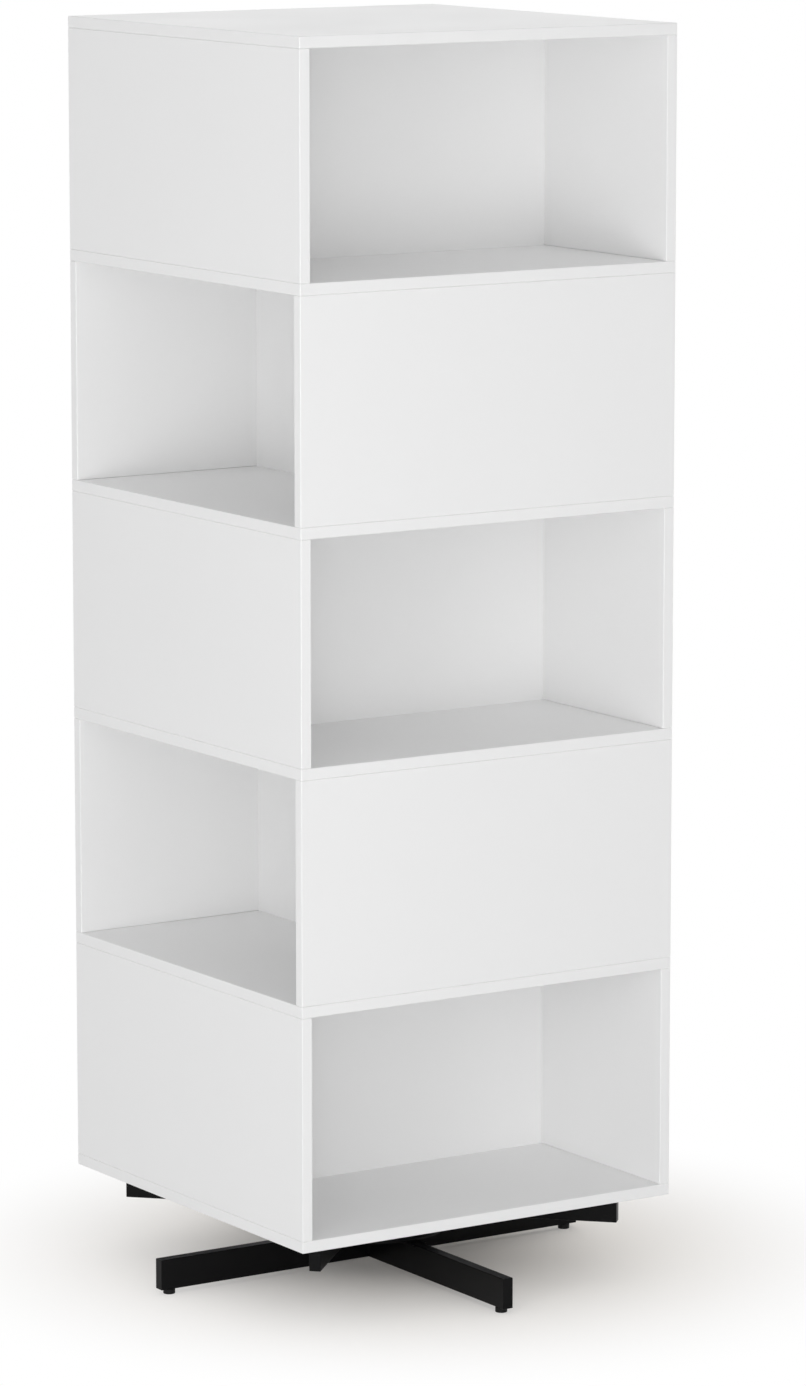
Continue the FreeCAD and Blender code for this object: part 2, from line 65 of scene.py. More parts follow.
# Where a Mix node that blends colours has its share, its two colours and its result.
MIX_SHARE = 0
MIX_FIRST = 6
MIX_SECOND = 7
MIX_RESULT = 2


def linear(colour):
    """The linear RGBA of a colour written as sRGB hex."""
    channels = [int(colour[place:place + 2], 16) / 255 for place in (1, 3, 5)]
    return [c / 12.92 if c <= 0.04045 else ((c + 0.055) / 1.055) ** 2.4 for c in channels] + [1]


def add(tree, kind, inputs, **settings):
    """Adds a node with its settings; an input is a plain value or the socket that feeds it."""
    node = tree.nodes.new(kind)
    for name, value in settings.items():
        setattr(node, name, value)
    for name, value in inputs.items():
        if isinstance(value, bpy.types.NodeSocket):
            tree.links.new(value, node.inputs[name])
        else:
            node.inputs[name].default_value = value
    return node


def new_material(name):
    """A material with an empty node tree, and the tree."""
    material = bpy.data.materials.new(name)
    material.use_nodes = True
    material.node_tree.nodes.clear()
    return material, material.node_tree


def finish(material, *names):
    """Gives a finish to nodes of the frame, in every one of their material slots."""
    for name in names:
        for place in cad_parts[name].material_slots:
            place.material = material


# Black polyester powder coat on steel: a deep black with a soft, slightly pebbled sheen and faint
# clouds of dust.
powder_coat, tree = new_material("black_powder_coat")
place = add(tree, "ShaderNodeTexCoord", {}).outputs["Object"]
pebbles = add(tree, "ShaderNodeTexNoise",
              {"Vector": place, "Scale": MM_PER_METRE / POWDER_PEBBLE_MM, "Detail": 3,
               "Roughness": POWDER_PEBBLE_CRISPNESS})
clouds = add(tree, "ShaderNodeTexNoise",
             {"Vector": place, "Scale": MM_PER_METRE / POWDER_CLOUD_MM, "Detail": 4})
colour = add(tree, "ShaderNodeMix",
             {MIX_SHARE: clouds.outputs["Fac"],
              MIX_FIRST: linear(POWDER_BLACK), MIX_SECOND: linear(POWDER_BLACK_DUSTY)},
             data_type="RGBA")
gloss = add(tree, "ShaderNodeMapRange",
            {"Value": clouds.outputs["Fac"],
             "From Min": NOISE_SPREAD[0], "From Max": NOISE_SPREAD[1],
             "To Min": POWDER_ROUGHNESS[0], "To Max": POWDER_ROUGHNESS[1]})
relief = add(tree, "ShaderNodeBump",
             {"Height": pebbles.outputs["Fac"], "Strength": 1,
              "Distance": POWDER_PEBBLE_HEIGHT_MM / MM_PER_METRE})
shader = add(tree, "ShaderNodeBsdfPrincipled",
             {"Base Color": colour.outputs[MIX_RESULT], "Roughness": gloss.outputs[0],
              "IOR": POWDER_IOR, "Specular IOR Level": POWDER_SPECULAR,
              "Normal": relief.outputs["Normal"]})
add(tree, "ShaderNodeOutputMaterial", {"Surface": shader.outputs[0]})

finish(powder_coat, "lower_bar_a", "lower_bar_b", "swivel_plate_lower")


# ---------------------------------------------------------------------------------------------
# Welds of the lower cross.  A fillet weld runs up each inner corner of the lap joint, and two
# short ones hold each arm to the swivel plate.  Each is a row of overlapping ripples, left as
# laid and coated with the bars.

WELD_LEG = 0.003
WELD_CROWN = 0.0019
WELD_RIPPLE = 0.0011
# How thick a bead is between two ripples and at its ends, as shares of its full size.
WELD_RIPPLE_NECK = 0.88
WELD_END_SCALE = 0.45
LAP_WELD_MARGIN = 0.004
PLATE_WELD_LENGTH = 0.024
PLATE_WELD_INSET = 0.009
# The lower arms run parallel to the tower's faces, and the upper ones to its corners.
LOWER_ARMS_DEGREES = 0
UPPER_ARMS_DEGREES = 45
ARM_TURNS = [math.radians(degrees) for degrees in (0, 90, 180, 270)]

# Half of a bar's thickness: bar a of the lower cross lies along X.
half_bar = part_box("lower_bar_a")[1].y


def new_piece(name, shape, material, body):
    """Makes a finished bmesh an object that rides on a body and takes its finish from a slot."""
    bmesh.ops.recalc_face_normals(shape, faces=shape.faces[:])
    mesh = bpy.data.meshes.new(name)
    shape.to_mesh(mesh)
    shape.free()
    mesh.materials.append(material)
    piece = bpy.data.objects.new(name, mesh)
    bpy.context.collection.objects.link(piece)
    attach(piece, body)
    return piece


def only(kind, items):
    """The items of one kind, such as corners or edges, out of a mixed list."""
    return [item for item in items if isinstance(item, kind)]


def set_out(shape, places):
    """Copies what a bmesh holds to each place, given as a matrix, and removes the original."""
    original = shape.verts[:] + shape.edges[:] + shape.faces[:]
    for place in places:
        copied = bmesh.ops.duplicate(shape, geom=original)["geom"]
        bmesh.ops.transform(shape, matrix=place, verts=only(bmesh.types.BMVert, copied))
    bmesh.ops.delete(shape, geom=only(bmesh.types.BMVert, original), context="VERTS")


def draw_out(shape, face, distance, size):
    """Draws a rod's end face out along Z, scales it about that axis, and gives the new end face."""
    end = bmesh.ops.extrude_discrete_faces(shape, faces=[face])["faces"][0]
    bmesh.ops.translate(shape, vec=(0, 0, distance), verts=end.verts[:])
    bmesh.ops.scale(shape, vec=(size, size, 1), verts=end.verts[:])
    return end


def weld_bead(length):
    """A fillet weld along Z from the origin, with its two legs on the X axis and the Y axis."""
    shape = bmesh.new()
    outline = ((0, 0), (WELD_LEG, 0), (WELD_CROWN, WELD_CROWN), (0, WELD_LEG))
    corners = [shape.verts.new((x, y, 0)) for x, y in outline]
    bmesh.ops.scale(shape, vec=(WELD_END_SCALE, WELD_END_SCALE, 1), verts=corners)
    end = shape.faces.new(corners)
    sizes = [WELD_END_SCALE] + [1, WELD_RIPPLE_NECK] * round(length / WELD_RIPPLE)
    sizes[-1] = WELD_END_SCALE
    for size, next_size in zip(sizes, sizes[1:]):
        end = draw_out(shape, end, length / (len(sizes) - 1), next_size / size)
    # Drawing a face out leaves a hole where it was, which the start of the bead needs closed.
    shape.faces.new(corners)
    return shape


def facing(first, second, corner):
    """A place whose X and Y axes are the two directions given and whose origin is the corner."""
    third = Vector(first).cross(Vector(second))
    turn = Matrix((first, second, third)).transposed().to_4x4()
    return Matrix.Translation(corner) @ turn


def round_the_arms(places, start_degrees):
    """Each place four times over, once for each arm of a cross."""
    start = math.radians(start_degrees)
    return [Matrix.Rotation(start + turn, 4, "Z") @ place for turn in ARM_TURNS for place in places]


def lap_welds(name, body, bar, start_degrees):
    """The welds up the four inner corners of a cross."""
    low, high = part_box(bar)
    shape = weld_bead(high.z - low.z - 2 * LAP_WELD_MARGIN)
    corner = facing((1, 0, 0), (0, 1, 0), (half_bar, half_bar, low.z + LAP_WELD_MARGIN))
    set_out(shape, round_the_arms([corner], start_degrees))
    new_piece(name, shape, powder_coat, body)


def plate_welds(name, body, plate, bar_side, start_degrees):
    """Two short welds on each arm, in the corners between the bar and the plate that it lies on.

    bar_side is 1 where the bars lie on top of the plate, and -1 where they lie under it.
    """
    low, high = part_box(plate)
    shape = weld_bead(PLATE_WELD_LENGTH)
    reach = high.x - PLATE_WELD_INSET
    face_z = high.z if bar_side > 0 else low.z
    up_bar = (0, 0, bar_side)
    left = facing((0, bar_side, 0), up_bar, (reach, bar_side * half_bar, face_z))
    right = facing(up_bar, (0, -bar_side, 0), (reach, -bar_side * half_bar, face_z))
    set_out(shape, round_the_arms([left, right], start_degrees))
    new_piece(name, shape, powder_coat, body)


lap_welds("lower_cross_lap_welds", "base", "lower_bar_a", LOWER_ARMS_DEGREES)
plate_welds("lower_cross_plate_welds", "base", "swivel_plate_lower", -1, LOWER_ARMS_DEGREES)


# ---------------------------------------------------------------------------------------------
# Levelling feet.  A small round pad of black nylon is moulded on each stud, and stands on the
# floor under the end of an arm.

NYLON_BLACK = "#0D0D0D"
NYLON_ROUGHNESS = (0.42, 0.58)
NYLON_SPECULAR = 0.16
NYLON_IOR = 1.53
# The spark-eroded grain of the mould is about 0.2 mm: drawn at 0.6 mm, so that it shows.
NYLON_GRAIN_MM = 0.6
NYLON_GRAIN_HEIGHT_MM = 0.015
ARM_ENDS = ("left", "right", "front", "back")

# Moulded nylon 6, filled with carbon black: a dull, even black with a fine mould grain.
black_nylon, tree = new_material("black_moulded_nylon")
place = add(tree, "ShaderNodeTexCoord", {}).outputs["Object"]
grain = add(tree, "ShaderNodeTexNoise",
            {"Vector": place, "Scale": MM_PER_METRE / NYLON_GRAIN_MM, "Detail": 2})
gloss = add(tree, "ShaderNodeMapRange",
            {"Value": grain.outputs["Fac"], "To Min": NYLON_ROUGHNESS[0], "To Max": NYLON_ROUGHNESS[1]})
relief = add(tree, "ShaderNodeBump",
             {"Height": grain.outputs["Fac"], "Strength": 1,
              "Distance": NYLON_GRAIN_HEIGHT_MM / MM_PER_METRE})
shader = add(tree, "ShaderNodeBsdfPrincipled",
             {"Base Color": linear(NYLON_BLACK), "Roughness": gloss.outputs[0], "IOR": NYLON_IOR,
              "Specular IOR Level": NYLON_SPECULAR, "Normal": relief.outputs["Normal"]})
add(tree, "ShaderNodeOutputMaterial", {"Surface": shader.outputs[0]})

for end in ARM_ENDS:
    finish(black_nylon, f"foot_pad_{end}")


# ---------------------------------------------------------------------------------------------
# Foot studs.  Lengths of M6 screwed rod with a rolled thread, plated with zinc.  Each holds its
# pad at the lower end and screws up into the bar, so the thread shows when a foot is let down.

ZINC_GREY = "#C4C7CB"
ZINC_GREY_DULL = "#A5A8AA"
ZINC_ROUGHNESS = (0.22, 0.40)
ZINC_CLOUD_MM = 1.5
STUD_PITCH = 0.001
STUD_CHAMFER = 0.0006
# A metric thread, as shares of its pitch: its depth, and the flats at its root and its crest.
THREAD_DEPTH = 0.54
THREAD_ROOT_FLAT = 0.25
THREAD_CREST_FLAT = 0.125
# Each turn's last corners meet the next turn's first ones, and merge within this share of a pitch.
THREAD_MERGE = 0.001
THREAD_STEPS = 24
# A thread starts out longer than its rod, and the spare turns are cut off square.
THREAD_SPARE_TURNS = 2
# Corners this near a cut are drawn onto it, so that it leaves no slivers.
CUT_SNAP = 0.000002

# Bright zinc plate: a pale, cool grey metal, with dull patches where it has been handled.
zinc_plate, tree = new_material("bright_zinc_plate")
place = add(tree, "ShaderNodeTexCoord", {}).outputs["Object"]
patches = add(tree, "ShaderNodeTexNoise",
              {"Vector": place, "Scale": MM_PER_METRE / ZINC_CLOUD_MM, "Detail": 3})
colour = add(tree, "ShaderNodeMix",
             {MIX_SHARE: patches.outputs["Fac"],
              MIX_FIRST: linear(ZINC_GREY), MIX_SECOND: linear(ZINC_GREY_DULL)},
             data_type="RGBA")
gloss = add(tree, "ShaderNodeMapRange",
            {"Value": patches.outputs["Fac"], "To Min": ZINC_ROUGHNESS[0], "To Max": ZINC_ROUGHNESS[1]})
shader = add(tree, "ShaderNodeBsdfPrincipled",
             {"Base Color": colour.outputs[MIX_RESULT], "Metallic": 1, "Roughness": gloss.outputs[0]})
add(tree, "ShaderNodeOutputMaterial", {"Surface": shader.outputs[0]})


def cut_square(shape, height, side):
    """Cuts a rod across, keeps what is above (side 1) or below (side -1), and closes the cut."""
    everything = shape.verts[:] + shape.edges[:] + shape.faces[:]
    cut = bmesh.ops.bisect_plane(shape, geom=everything, dist=CUT_SNAP, use_snap_center=True,
                                 plane_co=(0, 0, height), plane_no=(0, 0, side),
                                 clear_inner=True)["geom_cut"]
    return bmesh.ops.edgeloop_fill(shape, edges=only(bmesh.types.BMEdge, cut))["faces"][0]


def threaded_rod(radius, pitch, low, high, chamfer):
    """A rod along Z with a metric thread and chamfered ends, and the face of its upper end."""
    shape = bmesh.new()
    root = radius - THREAD_DEPTH * pitch
    flank = (1 - THREAD_ROOT_FLAT - THREAD_CREST_FLAT) / 2
    tooth = ((root, 0), (root, THREAD_ROOT_FLAT), (radius, THREAD_ROOT_FLAT + flank),
             (radius, THREAD_ROOT_FLAT + flank + THREAD_CREST_FLAT), (root, 1))
    corners = [shape.verts.new((x, 0, low + (height - 1) * pitch)) for x, height in tooth]
    edges = [shape.edges.new(pair) for pair in zip(corners, corners[1:])]
    turns = math.ceil((high - low) / pitch) + THREAD_SPARE_TURNS
    bmesh.ops.spin(shape, geom=corners + edges, axis=(0, 0, 1), angle=2 * math.pi * turns,
                   steps=turns * THREAD_STEPS, dvec=(0, 0, pitch / THREAD_STEPS))
    bmesh.ops.remove_doubles(shape, verts=shape.verts[:], dist=pitch * THREAD_MERGE)
    end_size = (root - chamfer / 2) / radius
    for height, side in ((low + chamfer, 1), (high - chamfer, -1)):
        end = draw_out(shape, cut_square(shape, height, side), -side * chamfer, end_size)
    return shape, end


for end in ARM_ENDS:
    low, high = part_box(f"foot_stud_{end}")
    middle = (low + high) / 2
    shape, _ = threaded_rod((high.x - low.x) / 2, STUD_PITCH, low.z, high.z, STUD_CHAMFER)
    bmesh.ops.translate(shape, vec=(middle.x, middle.y, 0), verts=shape.verts[:])
    stud = new_piece(f"threaded_stud_{end}", shape, zinc_plate, f"foot_{end}")
    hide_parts(f"foot_stud_{end}")


# ---------------------------------------------------------------------------------------------
# Bearing rings.  Two rings are turned from bearing steel with a ball groove between them, and
# hot blackened.  The inner one is screwed to the lower plate and the outer one to the upper plate.

BLACKENED_STEEL = "#343537"
BLACKENED_STEEL_WORN = "#4E4F53"
BLACKENED_ROUGHNESS = (0.28, 0.42)
STAIN_MM = 16
# Turning marks are about 0.1 mm apart: drawn 0.8 mm apart, so that they show.
TURNING_MARK_MM = 0.8
TURNING_MARK_HEIGHT_MM = 0.008
TURNING_MARK_WANDER = 0.4
# The wave texture makes 20 radians of wave for each unit of its scale.
WAVES_PER_UNIT = 20 / (2 * math.pi)

# Blackened bearing steel: dark grey metal, with fine turning marks that run round the axis and
# catch the light as thin arcs.
blackened_steel, tree = new_material("blackened_bearing_steel")
place = add(tree, "ShaderNodeTexCoord", {}).outputs["Object"]
marks = add(tree, "ShaderNodeTexWave",
            {"Vector": place, "Scale": MM_PER_METRE / TURNING_MARK_MM / WAVES_PER_UNIT,
             "Distortion": TURNING_MARK_WANDER, "Detail": 2},
            wave_type="RINGS", rings_direction="Z")
stain = add(tree, "ShaderNodeTexNoise",
            {"Vector": place, "Scale": MM_PER_METRE / STAIN_MM, "Detail": 5})
colour = add(tree, "ShaderNodeMix",
             {MIX_SHARE: stain.outputs["Fac"],
              MIX_FIRST: linear(BLACKENED_STEEL), MIX_SECOND: linear(BLACKENED_STEEL_WORN)},
             data_type="RGBA")
gloss = add(tree, "ShaderNodeMapRange",
            {"Value": marks.outputs["Fac"],
             "To Min": BLACKENED_ROUGHNESS[0], "To Max": BLACKENED_ROUGHNESS[1]})
relief = add(tree, "ShaderNodeBump",
             {"Height": marks.outputs["Fac"], "Strength": 1,
              "Distance": TURNING_MARK_HEIGHT_MM / MM_PER_METRE})
shader = add(tree, "ShaderNodeBsdfPrincipled",
             {"Base Color": colour.outputs[MIX_RESULT], "Metallic": 1, "Roughness": gloss.outputs[0],
              "Normal": relief.outputs["Normal"]})
add(tree, "ShaderNodeOutputMaterial", {"Surface": shader.outputs[0]})

finish(blackened_steel, "bearing_ring_inner", "bearing_ring_outer")


# ---------------------------------------------------------------------------------------------
# Bearing balls.  6 mm balls of hardened chrome steel, ground and polished, run in the groove
# between the two rings and carry the tower.

BALL_STEEL = "#C9CACC"
BALL_ROUGHNESS = (0.05, 0.16)
OIL_FILM_MM = 2.5

# Polished chrome steel: a bright mirror, dimmed in patches by a film of oil.
polished_steel, tree = new_material("polished_ball_steel")
place = add(tree, "ShaderNodeTexCoord", {}).outputs["Object"]
oil = add(tree, "ShaderNodeTexNoise",
          {"Vector": place, "Scale": MM_PER_METRE / OIL_FILM_MM, "Detail": 2})
gloss = add(tree, "ShaderNodeMapRange",
            {"Value": oil.outputs["Fac"], "To Min": BALL_ROUGHNESS[0], "To Max": BALL_ROUGHNESS[1]})
shader = add(tree, "ShaderNodeBsdfPrincipled",
             {"Base Color": linear(BALL_STEEL), "Metallic": 1, "Roughness": gloss.outputs[0]})
add(tree, "ShaderNodeOutputMaterial", {"Surface": shader.outputs[0]})

finish(polished_steel, "bearing_balls")


# ---------------------------------------------------------------------------------------------
# Ball cage.  A thin ring moulded in undyed nylon lies between the two bearing rings and keeps the
# balls apart, each in its own pocket.

CAGE_NYLON = "#E4DFD0"
CAGE_NYLON_DEEP = "#DAD5C4"
CAGE_ROUGHNESS = (0.40, 0.50)
CAGE_SCATTER = 0.15
CAGE_SCATTER_MM = 1
FLOW_LINE_MM = 8

# Natural nylon: a creamy white, slightly waxy plastic that lets a little light through.
natural_nylon, tree = new_material("natural_nylon")
place = add(tree, "ShaderNodeTexCoord", {}).outputs["Object"]
flow = add(tree, "ShaderNodeTexNoise",
           {"Vector": place, "Scale": MM_PER_METRE / FLOW_LINE_MM, "Detail": 3})
colour = add(tree, "ShaderNodeMix",
             {MIX_SHARE: flow.outputs["Fac"],
              MIX_FIRST: linear(CAGE_NYLON_DEEP), MIX_SECOND: linear(CAGE_NYLON)},
             data_type="RGBA")
gloss = add(tree, "ShaderNodeMapRange",
            {"Value": flow.outputs["Fac"], "To Min": CAGE_ROUGHNESS[0], "To Max": CAGE_ROUGHNESS[1]})
shader = add(tree, "ShaderNodeBsdfPrincipled",
             {"Base Color": colour.outputs[MIX_RESULT], "Roughness": gloss.outputs[0], "IOR": NYLON_IOR,
              "Subsurface Weight": CAGE_SCATTER, "Subsurface Scale": CAGE_SCATTER_MM / MM_PER_METRE})
add(tree, "ShaderNodeOutputMaterial", {"Surface": shader.outputs[0]})

finish(natural_nylon, "ball_cage")


# ---------------------------------------------------------------------------------------------
# Ring screws.  M4 countersunk screws with a hexagonal socket, in black oxide, sit flush in the
# two plates and hold the rings.  Four come down through the upper plate and four up through the
# lower one.

OXIDE_BLACK = "#232426"
OXIDE_BLACK_RUBBED = "#3B3C40"
OXIDE_ROUGHNESS = (0.32, 0.50)
OXIDE_PATCH_MM = 2
SOCKET_SIDES = 36
SOCKET_BEVEL = 0.0002
HEXAGON_SIDES = 6
RING_SCREW_PITCH = 0.0007
RING_SCREW_RADIUS = 0.002
RING_SCREW_HEAD_RADIUS = 0.004
RING_SCREW_LENGTH = 0.010
RING_SCREW_KEY = 0.0025
RING_SCREW_KEY_DEPTH = 0.0014
RING_SCREW_CHAMFER = 0.0004
UPSIDE_DOWN = Matrix.Rotation(math.pi, 4, "X")

# Black oxide on alloy steel: a near-black, oily metal, rubbed to grey in small patches.
black_oxide, tree = new_material("black_oxide_steel")
place = add(tree, "ShaderNodeTexCoord", {}).outputs["Object"]
rub = add(tree, "ShaderNodeTexNoise",
          {"Vector": place, "Scale": MM_PER_METRE / OXIDE_PATCH_MM, "Detail": 4})
colour = add(tree, "ShaderNodeMix",
             {MIX_SHARE: rub.outputs["Fac"],
              MIX_FIRST: linear(OXIDE_BLACK), MIX_SECOND: linear(OXIDE_BLACK_RUBBED)},
             data_type="RGBA")
gloss = add(tree, "ShaderNodeMapRange",
            {"Value": rub.outputs["Fac"], "To Min": OXIDE_ROUGHNESS[0], "To Max": OXIDE_ROUGHNESS[1]})
shader = add(tree, "ShaderNodeBsdfPrincipled",
             {"Base Color": colour.outputs[MIX_RESULT], "Metallic": 1, "Roughness": gloss.outputs[0]})
add(tree, "ShaderNodeOutputMaterial", {"Surface": shader.outputs[0]})


def ring_edges(shape, sides, radius, height, flute=0):
    """Draws a ring of edges round Z; a flute draws every second corner in towards the axis."""
    lift = Matrix.Translation((0, 0, height))
    corners = bmesh.ops.create_circle(shape, segments=sides, radius=radius, matrix=lift)["verts"]
    inside = 1 - flute / radius
    bmesh.ops.scale(shape, vec=(inside, inside, 1), verts=corners[::2])
    return list(dict.fromkeys(edge for corner in corners for edge in corner.link_edges))


def skin(shape, rings):
    """Skins a row of edge rings, each joined to the next."""
    for ring, following in zip(rings, rings[1:]):
        bmesh.ops.bridge_loops(shape, edges=ring + following)


def hexagon_edges(shape, key, height):
    """A ring of edges on a hexagon, divided so that it has as many corners as a screw's rim."""
    edges = ring_edges(shape, HEXAGON_SIDES, key / math.sqrt(3), height)
    cuts = SOCKET_SIDES // HEXAGON_SIDES - 1
    divided = bmesh.ops.subdivide_edges(shape, edges=edges, cuts=cuts)["geom_inner"]
    corners = only(bmesh.types.BMVert, divided)
    return list(dict.fromkeys(edge for corner in corners for edge in corner.link_edges))


def socket_screw(outline, length, pitch, chamfer, key, key_depth):
    """A screw that hangs down from its head's face at z = 0; the outline runs from rim to thread."""
    radius, thread_top, _ = outline[-1]
    shape, thread_end = threaded_rod(radius, pitch, -length, thread_top, chamfer)
    neck = thread_end.edges[:]
    bmesh.ops.delete(shape, geom=[thread_end], context="FACES_ONLY")
    rings = [hexagon_edges(shape, key, -key_depth), hexagon_edges(shape, key, -SOCKET_BEVEL),
             hexagon_edges(shape, key + 2 * SOCKET_BEVEL, 0)]
    bmesh.ops.edgeloop_fill(shape, edges=rings[0])
    rings += [ring_edges(shape, SOCKET_SIDES, *ring) for ring in outline]
    skin(shape, rings)
    bmesh.ops.triangle_fill(shape, use_beauty=True, edges=rings[-1] + neck)
    return shape


shank_z = RING_SCREW_RADIUS - RING_SCREW_HEAD_RADIUS
# Each outline is a row of rings: the radius, the height, and the depth of its flutes.
ring_screw_outline = (
    (RING_SCREW_HEAD_RADIUS, 0, 0),
    (RING_SCREW_RADIUS, shank_z, 0),
    (RING_SCREW_RADIUS, shank_z - RING_SCREW_PITCH, 0),
)
# The screws of each ring stand between the arms of their own cross, in line with the other one's.
for level, body, head_side, start_degrees in (("upper", "tower", 1, LOWER_ARMS_DEGREES),
                                              ("lower", "base", -1, UPPER_ARMS_DEGREES)):
    low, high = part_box(f"ring_screws_{level}")
    shape = socket_screw(ring_screw_outline, RING_SCREW_LENGTH, RING_SCREW_PITCH,
                         RING_SCREW_CHAMFER, RING_SCREW_KEY, RING_SCREW_KEY_DEPTH)
    # Screws that stand on the diagonals have a box that is narrower than their circle.
    circle = (high.x - RING_SCREW_HEAD_RADIUS) / math.cos(math.radians(start_degrees))
    if head_side > 0:
        place = Matrix.Translation((circle, 0, high.z))
    else:
        place = Matrix.Translation((circle, 0, low.z)) @ UPSIDE_DOWN
    set_out(shape, round_the_arms([place], start_degrees))
    screws = new_piece(f"socket_ring_screws_{level}", shape, black_oxide, body)
    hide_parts(f"ring_screws_{level}")


# ---------------------------------------------------------------------------------------------
# Upper cross and its plate.  Two more bars like the lower ones are welded to the upper plate, and
# turn with the tower.  Their arms run out to its corners.

finish(powder_coat, "upper_bar_a", "upper_bar_b", "swivel_plate_upper")
lap_welds("upper_cross_lap_welds", "tower", "upper_bar_a", UPPER_ARMS_DEGREES)
plate_welds("upper_cross_plate_welds", "tower", "swivel_plate_upper", 1, UPPER_ARMS_DEGREES)


# ---------------------------------------------------------------------------------------------
# Cross screws.  M5 socket cap screws with a knurled head, in black oxide.  They are driven up
# through the upper bars, two to an arm, with their heads in counterbores.

CROSS_SCREW_PITCH = 0.0008
CROSS_SCREW_RADIUS = 0.0025
CROSS_SCREW_HEAD_RADIUS = 0.00425
CROSS_SCREW_HEAD_HEIGHT = 0.005
CROSS_SCREW_LENGTH = 0.035
CROSS_SCREW_THREAD = 0.022
CROSS_SCREW_KEY = 0.004
CROSS_SCREW_KEY_DEPTH = 0.0025
CROSS_SCREW_CHAMFER = 0.0005
CROSS_SCREW_CIRCLES = (0.110, 0.230)
KNURL_DEPTH = 0.00018
KNURL_PLAIN = 0.0008

low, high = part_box("cross_screws")
tip = CROSS_SCREW_HEAD_HEIGHT + CROSS_SCREW_LENGTH
plain_end = tip - CROSS_SCREW_THREAD
cross_screw_outline = (
    (CROSS_SCREW_HEAD_RADIUS - CROSS_SCREW_CHAMFER, 0, 0),
    (CROSS_SCREW_HEAD_RADIUS, -CROSS_SCREW_CHAMFER, KNURL_DEPTH),
    (CROSS_SCREW_HEAD_RADIUS, KNURL_PLAIN - CROSS_SCREW_HEAD_HEIGHT, KNURL_DEPTH),
    (CROSS_SCREW_HEAD_RADIUS - KNURL_DEPTH, KNURL_PLAIN / 2 - CROSS_SCREW_HEAD_HEIGHT, 0),
    (CROSS_SCREW_HEAD_RADIUS - KNURL_DEPTH, -CROSS_SCREW_HEAD_HEIGHT, 0),
    (CROSS_SCREW_RADIUS, -CROSS_SCREW_HEAD_HEIGHT, 0),
    (CROSS_SCREW_RADIUS, -plain_end, 0),
)
shape = socket_screw(cross_screw_outline, tip, CROSS_SCREW_PITCH,
                     CROSS_SCREW_CHAMFER, CROSS_SCREW_KEY, CROSS_SCREW_KEY_DEPTH)
places = [Matrix.Translation((circle, 0, low.z)) @ UPSIDE_DOWN for circle in CROSS_SCREW_CIRCLES]
set_out(shape, round_the_arms(places, UPPER_ARMS_DEGREES))
screws = new_piece("socket_cross_screws", shape, black_oxide, "tower")
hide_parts("cross_screws")


# ---------------------------------------------------------------------------------------------
# Threaded inserts.  Brass sleeves, knurled in two bands with a groove between them, are pressed
# into the bottom panel and take the cross screws.

BRASS_YELLOW = "#D6B36A"
BRASS_TARNISHED = "#B8924C"
BRASS_ROUGHNESS = (0.20, 0.38)
TARNISH_MM = 3.5
INSERT_SIDES = 48
INSERT_RADIUS = 0.00375
INSERT_BORE = 0.00255
INSERT_KNURL = 0.0003
INSERT_CHAMFER = 0.0004
INSERT_GROOVE_DEPTH = 0.0007
# Where the groove starts and ends, as shares of the sleeve's length.
INSERT_GROOVE_SHARES = (0.42, 0.58)

# Free-cutting brass: a warm yellow metal, turned bright and a little tarnished.
brass, tree = new_material("turned_brass")
place = add(tree, "ShaderNodeTexCoord", {}).outputs["Object"]
tarnish = add(tree, "ShaderNodeTexNoise",
              {"Vector": place, "Scale": MM_PER_METRE / TARNISH_MM, "Detail": 4})
colour = add(tree, "ShaderNodeMix",
             {MIX_SHARE: tarnish.outputs["Fac"],
              MIX_FIRST: linear(BRASS_YELLOW), MIX_SECOND: linear(BRASS_TARNISHED)},
             data_type="RGBA")
gloss = add(tree, "ShaderNodeMapRange",
            {"Value": tarnish.outputs["Fac"],
             "To Min": BRASS_ROUGHNESS[0], "To Max": BRASS_ROUGHNESS[1]})
shader = add(tree, "ShaderNodeBsdfPrincipled",
             {"Base Color": colour.outputs[MIX_RESULT], "Metallic": 1, "Roughness": gloss.outputs[0]})
add(tree, "ShaderNodeOutputMaterial", {"Surface": shader.outputs[0]})

low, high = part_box("threaded_inserts")
length = high.z - low.z
groove_low = length * INSERT_GROOVE_SHARES[0]
groove_high = length * INSERT_GROOVE_SHARES[1]
insert_outline = (
    (INSERT_BORE, 0, 0),
    (INSERT_RADIUS - INSERT_CHAMFER, 0, 0),
    (INSERT_RADIUS, INSERT_CHAMFER, INSERT_KNURL),
    (INSERT_RADIUS, groove_low, INSERT_KNURL),
    (INSERT_RADIUS - INSERT_GROOVE_DEPTH, groove_low, 0),
    (INSERT_RADIUS - INSERT_GROOVE_DEPTH, groove_high, 0),
    (INSERT_RADIUS, groove_high, INSERT_KNURL),
    (INSERT_RADIUS, length - INSERT_CHAMFER, INSERT_KNURL),
    (INSERT_RADIUS - INSERT_CHAMFER, length, 0),
    (INSERT_BORE, length, 0),
)
shape = bmesh.new()
rings = [ring_edges(shape, INSERT_SIDES, *ring) for ring in insert_outline]
skin(shape, rings + rings[:1])
places = [Matrix.Translation((circle, 0, low.z)) for circle in CROSS_SCREW_CIRCLES]
set_out(shape, round_the_arms(places, UPPER_ARMS_DEGREES))
inserts = new_piece("knurled_inserts", shape, brass, "tower")
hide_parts("threaded_inserts")


# ---------------------------------------------------------------------------------------------
# Boards, side panels and dividers.  12 mm medium density fibreboard, cut square, with its edges
# eased by sanding, then primed and sprayed all over with white lacquer.

